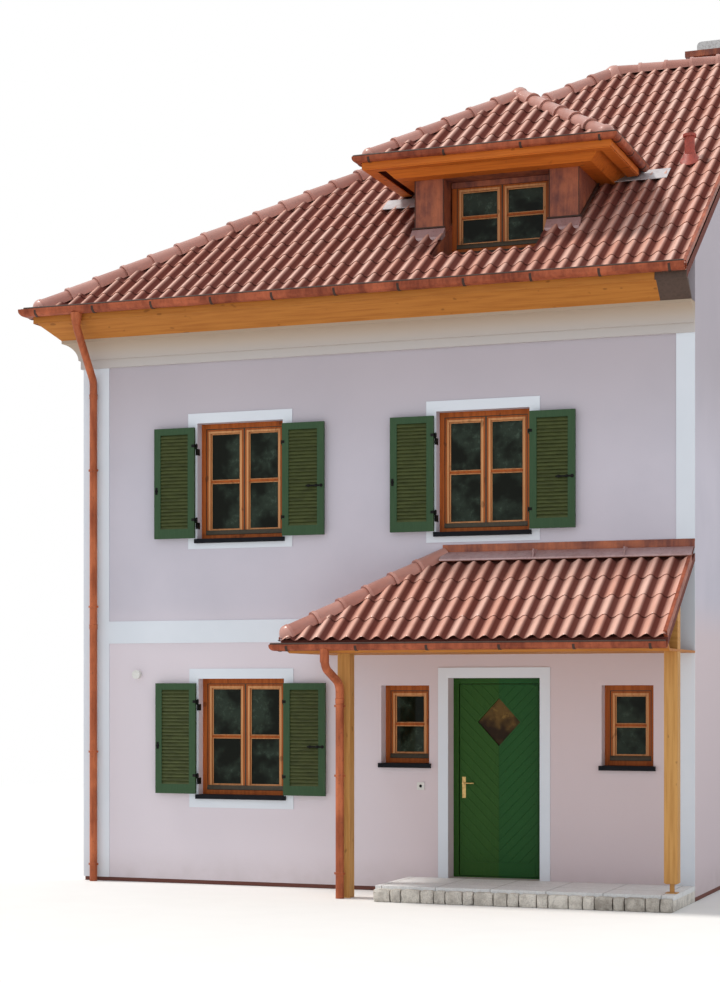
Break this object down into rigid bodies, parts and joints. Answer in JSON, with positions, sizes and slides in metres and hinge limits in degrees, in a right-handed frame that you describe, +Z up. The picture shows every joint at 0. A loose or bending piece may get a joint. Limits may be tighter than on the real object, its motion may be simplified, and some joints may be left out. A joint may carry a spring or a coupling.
{
  "type": "semi-detached house",
  "caption": "Half of a two-storey house pair with a hipped clay roof, a dormer, a tiled porch, a green front door and louvred shutters.",
  "frame": {"origin": "centre of the house's walls in plan, at the underside of the ground slab, on the floor", "axes": "+Z up; -Y out of the front with the door; +X towards the party wall"},
  "size_m": [7.8203, 12.3406, 11.1657],
  "materials": {
    "plaster": "pinkish mineral render",
    "white_plaster": "smooth white render",
    "concrete": "cast concrete",
    "clay_tile": "glossy red engobed clay",
    "chimney_cladding": "dark cladding",
    "hood_steel": "bright stainless steel",
    "terracotta": "unglazed clay",
    "brown_copper": "oxidised sheet copper",
    "gutter_copper": "weathered copper",
    "eave_plate": "dark grey-brown sheet",
    "eave_wood": "clear varnished softwood",
    "post_wood": "oiled pine",
    "window_wood": "orange-brown stain",
    "window_glass": "clear",
    "slate": "honed slate",
    "door_paint": "dark green paint",
    "shutter_paint": "dark green paint",
    "brass_fittings": "polished brass",
    "black_iron": "black painted iron",
    "fitting_plastic": "light grey",
    "terrace_stone": "pale flamed stone",
    "granite": "split granite"
  },
  "bodies": {
    "front_door": {"front_door": "door_paint", "door_glass": "window_glass", "door_handles": "brass_fittings"},
    "shutter_low_left": {"shutter_low_left": "shutter_paint"},
    "shutter_low_right": {"shutter_low_right": "shutter_paint"},
    "shutter_upper_left_left": {"shutter_upper_left_left": "shutter_paint"},
    "shutter_upper_left_right": {"shutter_upper_left_right": "shutter_paint"},
    "shutter_upper_right_left": {"shutter_upper_right_left": "shutter_paint"},
    "shutter_upper_right_right": {"shutter_upper_right_right": "shutter_paint"},
    "house": {"back_wall": "plaster", "chimney": "chimney_cladding", "chimney_flue": "hood_steel", "cornice": "white_plaster", "door_frame": "door_paint", "dormer_body": "brown_copper", "dormer_eaves": "eave_wood", "dormer_gutter": "gutter_copper", "dormer_niche": "brown_copper", "dormer_roof": "clay_tile", "dormer_window": "window_wood", "downpipes": "gutter_copper", "eave_boards": "eave_wood", "front_wall_left": "plaster", "front_wall_over_door": "plaster", "front_wall_right": "plaster", "front_wall_upper": "plaster", "front_windows": "window_wood", "ground_slab": "concrete", "hip_and_ridge_caps": "clay_tile", "main_gutter": "gutter_copper", "party_eave_plates": "eave_plate", "party_wall": "plaster", "porch_beams": "post_wood", "porch_ceiling": "eave_wood", "porch_flashing": "gutter_copper", "porch_gutter": "gutter_copper", "porch_posts": "post_wood", "porch_roof": "clay_tile", "roof_back_slope": "clay_tile", "roof_front_slope": "clay_tile", "roof_side_slope": "clay_tile", "shutter_pins": "black_iron", "side_and_back_shutters": "shutter_paint", "side_and_back_windows": "window_wood", "side_wall": "plaster", "terrace_kerb": "granite", "terrace_plate": "terrace_stone", "upper_floors": "concrete", "vent_pipe": "terracotta", "wall_bands": "white_plaster", "wall_fittings": "fitting_plastic", "window_glass": "window_glass", "window_sills": "slate", "window_surrounds": "white_plaster"}
  },
  "joints": [
    {"name": "front_door_hinge", "type": "hinge", "parent": "house", "child": "front_door", "pos_m": [1.868, -4.8705, 1.24], "axis": [0, 0, -1], "range_deg": [0, 90]},
    {"name": "shutter_low_left_hinge", "type": "hinge", "parent": "house", "child": "shutter_low_left", "pos_m": [-2.145, -5.18, 1.6805], "axis": [0, 0, 1], "range_deg": [0, 180]},
    {"name": "shutter_low_right_hinge", "type": "hinge", "parent": "house", "child": "shutter_low_right", "pos_m": [-1.075, -5.18, 1.6805], "axis": [0, 0, -1], "range_deg": [0, 180]},
    {"name": "shutter_upper_left_left_hinge", "type": "hinge", "parent": "house", "child": "shutter_upper_left_left", "pos_m": [-2.16, -5.18, 4.6285], "axis": [0, 0, 1], "range_deg": [0, 180]},
    {"name": "shutter_upper_left_right_hinge", "type": "hinge", "parent": "house", "child": "shutter_upper_left_right", "pos_m": [-1.09, -5.18, 4.6285], "axis": [0, 0, -1], "range_deg": [0, 180]},
    {"name": "shutter_upper_right_left_hinge", "type": "hinge", "parent": "house", "child": "shutter_upper_right_left", "pos_m": [0.746, -5.18, 4.6285], "axis": [0, 0, 1], "range_deg": [0, 180]},
    {"name": "shutter_upper_right_right_hinge", "type": "hinge", "parent": "house", "child": "shutter_upper_right_right", "pos_m": [1.816, -5.18, 4.6285], "axis": [0, 0, -1], "range_deg": [0, 180]}
  ]
}
